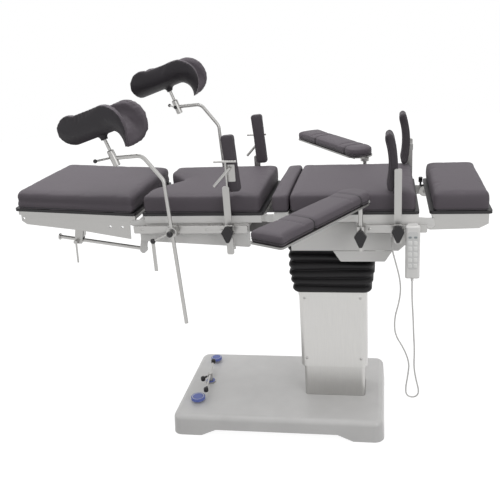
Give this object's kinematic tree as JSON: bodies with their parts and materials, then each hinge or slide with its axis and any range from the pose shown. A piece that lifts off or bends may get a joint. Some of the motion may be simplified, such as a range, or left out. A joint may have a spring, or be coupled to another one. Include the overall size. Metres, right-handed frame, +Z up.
{
  "type": "operating table",
  "caption": "Operating table: a five-section padded top on a bellows column and T-shaped base, with arm boards, leg holders, side supports and a hand control.",
  "frame": {"origin": "on the floor under the middle of the table top's length, in the plane midway between its two long sides", "axes": "+X along the table towards the head end, +Y away from the side with the hand control, +Z up"},
  "size_m": [1.9595, 1.7424, 1.6204],
  "materials": {
    "leatherette": "semi-matt vinyl upholstery, welded seams",
    "steel": "brushed stainless steel",
    "paint": "light grey powder coat",
    "paint_grey": "mid grey powder coat",
    "black_plastic": "moulded black plastic",
    "board": "X-ray translucent laminate",
    "rubber": "black rubber",
    "cord": "light grey flexible cord",
    "handset_shell": "moulded light grey shell",
    "chrome": "polished chrome",
    "base_shell": "smooth light grey moulded shell",
    "blue": "blue moulded cap"
  },
  "bodies": {
    "base": {"base_cover": "base_shell", "base_chassis": "paint_grey", "base_feet": "rubber", "lower_column": "paint_grey"},
    "brake_handle": {"brake_lever": "chrome"},
    "lock_pedal": {"lock_pedal": "blue"},
    "unlock_pedal": {"unlock_pedal": "blue"},
    "lift": {"column_cover": "paint", "inner_mast": "steel", "bellows": "rubber"},
    "gimbal": {"gimbal_cross": "steel"},
    "top": {"housing": "paint", "undertray": "paint", "saddle": "paint_grey", "seat_frame": "paint", "seat_rails": "steel", "seat_board": "board", "seat_cushion": "leatherette", "seat_rail_clamps": "steel", "seat_clamp_knobs": "black_plastic"},
    "leg": {"leg_frame": "steel", "leg_board": "board", "leg_cushion": "leatherette", "strut_clamp": "steel"},
    "strut": {"strut_rod": "steel"},
    "back": {"back_frame": "paint", "back_rails": "steel", "back_board": "board", "back_cushion": "leatherette", "back_rail_clamps": "steel", "back_clamp_knobs": "black_plastic", "handset": "handset_shell", "handset_cord": "cord"},
    "kidney": {"kidney_carriage": "paint", "kidney_cushion": "leatherette"},
    "head": {"head_frame": "steel", "head_board": "board", "head_cushion": "leatherette"},
    "leg_swivel_near": {"leg_swivel_near": "steel"},
    "leg_rod_near": {"leg_rod_near": "steel"},
    "leg_pad_stem_near": {"leg_pad_stem_near": "steel"},
    "leg_pad_near": {"leg_pad_near": "leatherette"},
    "hip_support_near": {"hip_post_near": "steel", "hip_pad_near": "leatherette"},
    "shoulder_support_near": {"shoulder_post_near": "steel", "shoulder_pad_near": "leatherette"},
    "arm_post_near": {"arm_post_near": "steel"},
    "arm_near": {"arm_board_near": "steel", "arm_cushion_near": "leatherette"},
    "leg_swivel_far": {"leg_swivel_far": "steel"},
    "leg_rod_far": {"leg_rod_far": "steel"},
    "leg_pad_stem_far": {"leg_pad_stem_far": "steel"},
    "leg_pad_far": {"leg_pad_far": "leatherette"},
    "hip_support_far": {"hip_post_far": "steel", "hip_pad_far": "leatherette"},
    "shoulder_support_far": {"shoulder_post_far": "steel", "shoulder_pad_far": "leatherette"},
    "arm_post_far": {"arm_post_far": "steel"},
    "arm_far": {"arm_board_far": "steel", "arm_cushion_far": "leatherette"}
  },
  "joints": [
    {"name": "height_lift", "type": "slide", "parent": "base", "child": "lift", "axis": [0, 0, 1], "range_m": [-0.15, 0.06]},
    {"name": "trendelenburg", "type": "hinge", "parent": "lift", "child": "gimbal", "pos_m": [0.345, 0, 0.76], "axis": [0, -1, 0], "range_deg": [-25, 25], "deforming": ["bellows"]},
    {"name": "lateral_tilt", "type": "hinge", "parent": "gimbal", "child": "top", "pos_m": [0.345, 0, 0.76], "axis": [1, 0, 0], "range_deg": [-15, 15], "deforming": ["bellows"]},
    {"name": "leg_section_hinge", "type": "hinge", "parent": "top", "child": "leg", "pos_m": [-0.463, 0, 1], "axis": [0, 1, 0], "range_deg": [-90, 0]},
    {"name": "leg_strut_pivot", "type": "hinge", "parent": "top", "child": "strut", "pos_m": [-0.45, -0.195, 0.868], "axis": [0, 1, 0], "range_deg": [-129.6, 0]},
    {"name": "back_section_hinge", "type": "hinge", "parent": "top", "child": "back", "pos_m": [0.11, 0, 1.016], "axis": [0, -1, 0], "range_deg": [0, 65], "deforming": ["kidney_cushion"]},
    {"name": "kidney_lift", "type": "slide", "parent": "back", "child": "kidney", "axis": [0, 0, -1], "range_m": [-0.09, 0]},
    {"name": "head_section_hinge", "type": "hinge", "parent": "back", "child": "head", "pos_m": [0.752, 0, 0.99], "axis": [0, -1, 0], "range_deg": [-90, 15]},
    {"name": "brake_handle_turn", "type": "hinge", "parent": "base", "child": "brake_handle", "pos_m": [-0.272, 0, 0.12], "axis": [0, 0, 1], "range_deg": [-60, 60]},
    {"name": "lock_pedal_press", "type": "slide", "parent": "base", "child": "lock_pedal", "axis": [0, 0, -1], "range_m": [0, 0.01], "stiffness_N_per_m": 900, "springref_m": -0.004},
    {"name": "unlock_pedal_press", "type": "slide", "parent": "base", "child": "unlock_pedal", "axis": [0, 0, -1], "range_m": [0, 0.01], "stiffness_N_per_m": 900, "springref_m": -0.004},
    {"name": "leg_swivel_turn_near", "type": "hinge", "parent": "top", "child": "leg_swivel_near", "pos_m": [-0.278, -0.318, 0.984], "axis": [0, 1, 0], "range_deg": [-25, 15]},
    {"name": "leg_rod_slide_near", "type": "slide", "parent": "leg_swivel_near", "child": "leg_rod_near", "axis": [-0.0483, 0, 0.9988], "range_m": [-0.1, 0.1]},
    {"name": "leg_pad_roll_near", "type": "hinge", "parent": "leg_rod_near", "child": "leg_pad_stem_near", "pos_m": [-0.48034, -0.318, 1.292], "axis": [-0.9975, 0, -0.07], "range_deg": [-20, 20]},
    {"name": "leg_pad_turn_near", "type": "hinge", "parent": "leg_pad_stem_near", "child": "leg_pad_near", "pos_m": [-0.51335, -0.318, 1.37862], "axis": [-0.3371, 0, 0.9415], "range_deg": [-40, 40]},
    {"name": "hip_support_slide_near", "type": "slide", "parent": "top", "child": "hip_support_near", "axis": [0, 0, 1], "range_m": [0, 0.08]},
    {"name": "shoulder_support_slide_near", "type": "slide", "parent": "back", "child": "shoulder_support_near", "axis": [0, 0, 1], "range_m": [0, 0.06]},
    {"name": "arm_post_slide_near", "type": "slide", "parent": "back", "child": "arm_post_near", "axis": [0, 0, 1], "range_m": [-0.06, 0.06]},
    {"name": "arm_turn_near", "type": "hinge", "parent": "arm_post_near", "child": "arm_near", "pos_m": [0.481, -0.318, 1.1], "axis": [0, 0, 1], "range_deg": [-32, 88]},
    {"name": "leg_swivel_turn_far", "type": "hinge", "parent": "top", "child": "leg_swivel_far", "pos_m": [-0.19, 0.318, 0.984], "axis": [0, 1, 0], "range_deg": [-25, 15]},
    {"name": "leg_rod_slide_far", "type": "slide", "parent": "leg_swivel_far", "child": "leg_rod_far", "axis": [-0.0483, 0, 0.9988], "range_m": [-0.1, 0.1]},
    {"name": "leg_pad_roll_far", "type": "hinge", "parent": "leg_rod_far", "child": "leg_pad_stem_far", "pos_m": [-0.39741, 0.318, 1.397], "axis": [-0.9975, 0, -0.07], "range_deg": [-20, 20]},
    {"name": "leg_pad_turn_far", "type": "hinge", "parent": "leg_pad_stem_far", "child": "leg_pad_far", "pos_m": [-0.43042, 0.318, 1.48362], "axis": [-0.3371, 0, 0.9415], "range_deg": [-40, 40]},
    {"name": "hip_support_slide_far", "type": "slide", "parent": "top", "child": "hip_support_far", "axis": [0, 0, 1], "range_m": [0, 0.08]},
    {"name": "shoulder_support_slide_far", "type": "slide", "parent": "back", "child": "shoulder_support_far", "axis": [0, 0, 1], "range_m": [0, 0.06]},
    {"name": "arm_post_slide_far", "type": "slide", "parent": "back", "child": "arm_post_far", "axis": [0, 0, 1], "range_m": [-0.06, 0.06]},
    {"name": "arm_turn_far", "type": "hinge", "parent": "arm_post_far", "child": "arm_far", "pos_m": [0.481, 0.318, 1.1], "axis": [0, 0, -1], "range_deg": [-28, 88]}
  ],
  "couplings": [
    {"joint": "leg_strut_pivot", "follows": "leg_section_hinge", "ratio": 1.44}
  ]
}
